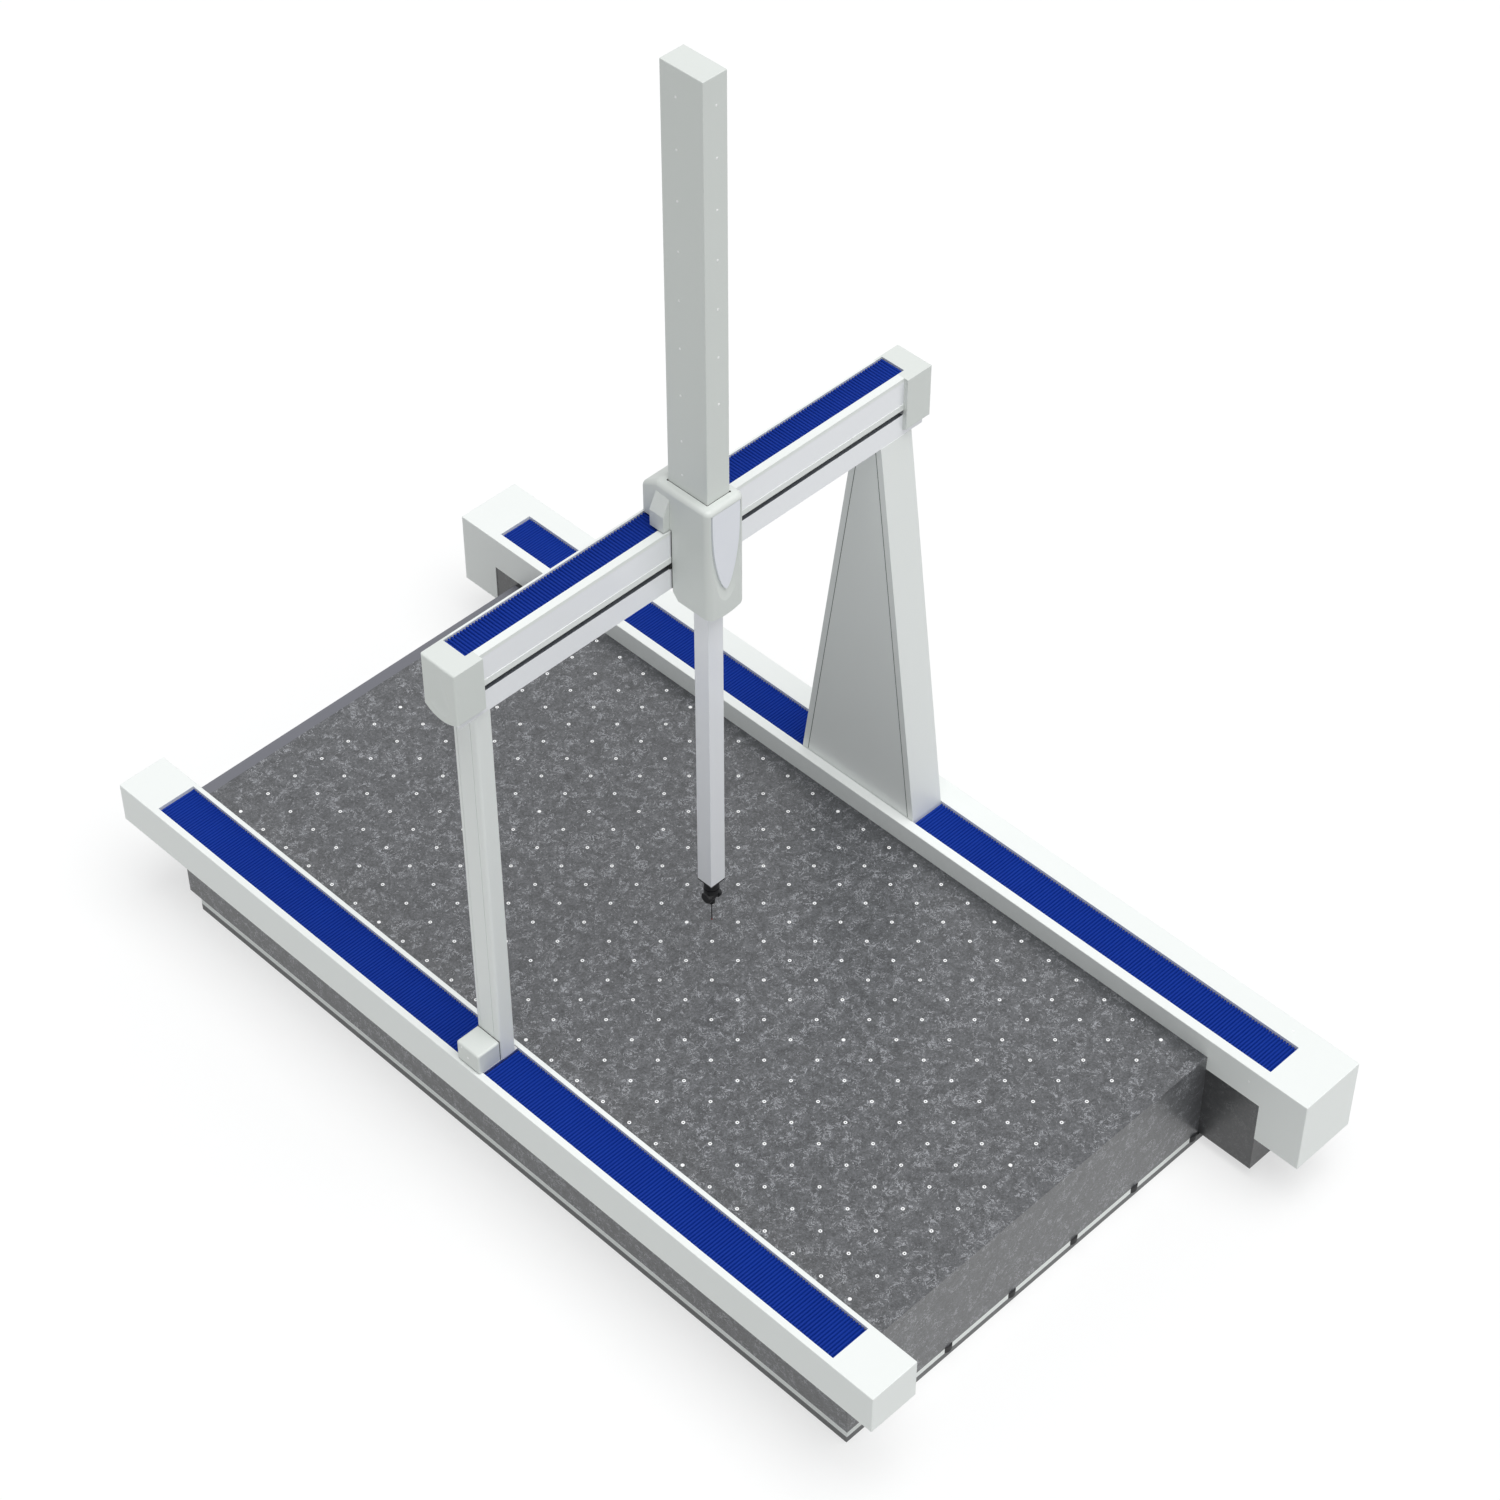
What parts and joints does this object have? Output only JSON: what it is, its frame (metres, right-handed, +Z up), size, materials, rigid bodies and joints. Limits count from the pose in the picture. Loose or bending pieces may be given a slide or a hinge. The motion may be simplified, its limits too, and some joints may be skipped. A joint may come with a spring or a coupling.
{
  "type": "coordinate measuring machine",
  "caption": "Bridge coordinate measuring machine: granite table, travelling bridge on air bearings, carriage with vertical spindle and tilting touch probe.",
  "frame": {"origin": "on the floor, under the middle of the whole machine", "axes": "+X along the crossbeam towards the wide leg, +Y along the table away from the probe side of the beam, +Z up"},
  "size_m": [2.512, 4.952, 4.82],
  "materials": {
    "granite": "honed grey granite with pale flecks",
    "cover_paint": "fine satin pale grey-white paint",
    "moulded_cover": "satin pale grey moulding",
    "white_ceramic": "lapped pale ceramic",
    "bellows_cloth": "blue coated bellows cloth",
    "badge_panel": "smooth pale panel, bare",
    "base_steel": "dark grey paint",
    "tray_paint": "grey paint",
    "mount_rubber": "matt black",
    "machined_aluminium": "fine milled",
    "bearing_alloy": "lapped faces",
    "drive_steel": "ground steel",
    "scale_tape": "fine scale tape",
    "motor_black": "black paint",
    "probe_black": "black anodised",
    "stylus_steel": "ground carbide",
    "ruby": "polished ruby"
  },
  "bodies": {
    "table": {"base_plate": "base_steel", "support_frame": "cover_paint", "isolation_mounts": "mount_rubber", "granite_table": "granite", "guide_beam": "granite", "table_inserts": "drive_steel", "rear_tray": "tray_paint", "far_cover_inner": "cover_paint", "far_cover_outer": "cover_paint", "far_end_boxes": "cover_paint", "near_cover_inner": "cover_paint", "near_cover_outer": "cover_paint", "near_end_boxes": "cover_paint", "near_bellows_front": "bellows_cloth", "near_bellows_rear": "bellows_cloth", "far_bellows_front": "bellows_cloth", "far_bellows_rear": "bellows_cloth", "cover_brackets": "machined_aluminium", "y_scale": "scale_tape", "y_drive_bar": "drive_steel"},
    "bridge": {"right_truck": "machined_aluminium", "bridge_air_bearings": "bearing_alloy", "y_readhead": "motor_black", "right_leg": "cover_paint", "right_leg_panels": "cover_paint", "left_truck": "machined_aluminium", "left_leg": "cover_paint", "left_foot_cover": "moulded_cover", "crossbeam": "white_ceramic", "beam_cover_strips": "cover_paint", "x_scale": "scale_tape", "x_drive_bar": "drive_steel", "near_end_cap": "moulded_cover", "far_end_cap": "moulded_cover", "beam_bellows_near": "bellows_cloth", "beam_bellows_far": "bellows_cloth", "y_drive_motor": "motor_black"},
    "y_wheel": {"y_drive_wheel": "drive_steel"},
    "carriage": {"carriage_frame": "machined_aluminium", "x_readhead": "motor_black", "carriage_air_bearings": "bearing_alloy", "carriage_housing": "moulded_cover", "badge_plate": "badge_panel", "rear_cover": "moulded_cover", "column_cover": "moulded_cover", "column_cap": "moulded_cover", "column_frame": "machined_aluminium", "counterbalance_rod": "drive_steel", "x_drive_motor": "motor_black", "z_drive_motor": "motor_black"},
    "x_wheel": {"x_drive_wheel": "drive_steel"},
    "z_wheel": {"z_drive_wheel": "drive_steel"},
    "spindle": {"spindle_tube": "white_ceramic", "spindle_plate": "motor_black", "counterbalance_cylinder": "drive_steel", "probe_head_mount": "probe_black"},
    "head": {"probe_head_body": "probe_black"},
    "probe_arm": {"probe": "probe_black", "stylus_stem": "stylus_steel", "stylus_ball": "ruby"}
  },
  "joints": [
    {"name": "bridge_slide", "type": "slide", "parent": "table", "child": "bridge", "axis": [0, 1, 0], "range_m": [-1.6, 1.6], "deforming": ["near_bellows_front", "near_bellows_rear", "far_bellows_front", "far_bellows_rear"]},
    {"name": "carriage_slide", "type": "slide", "parent": "bridge", "child": "carriage", "axis": [1, 0, 0], "range_m": [-0.792, 0.908], "deforming": ["beam_bellows_near", "beam_bellows_far"]},
    {"name": "spindle_slide", "type": "slide", "parent": "carriage", "child": "spindle", "axis": [0, 0, 1], "range_m": [-0.15, 1.35]},
    {"name": "head_swivel", "type": "hinge", "parent": "spindle", "child": "head", "pos_m": [-0.058, -0.165, 0.884], "axis": [0, 0, 1], "range_deg": [-180, 180]},
    {"name": "probe_tilt", "type": "hinge", "parent": "head", "child": "probe_arm", "pos_m": [-0.058, -0.165, 0.858], "axis": [1, 0, 0], "range_deg": [0, 105]},
    {"name": "y_wheel_turn", "type": "hinge", "parent": "bridge", "child": "y_wheel", "pos_m": [1.0968, 0.37, 0.392], "axis": [0, 0, 1], "range_deg": [-3700, 3700]},
    {"name": "x_wheel_turn", "type": "hinge", "parent": "carriage", "child": "x_wheel", "pos_m": [-0.018, 0.1173, 2.65], "axis": [0, 0, 1], "range_deg": [-2100, 1840]},
    {"name": "z_wheel_turn", "type": "hinge", "parent": "carriage", "child": "z_wheel", "pos_m": [-0.058, -0.0977, 3.072], "axis": [1, 0, 0], "range_deg": [-2800, 320]}
  ],
  "couplings": [
    {"joint": "y_wheel_turn", "follows": "bridge_slide", "rad_per_m": 40},
    {"joint": "x_wheel_turn", "follows": "carriage_slide", "rad_per_m": -40},
    {"joint": "z_wheel_turn", "follows": "spindle_slide", "rad_per_m": -35.714}
  ]
}
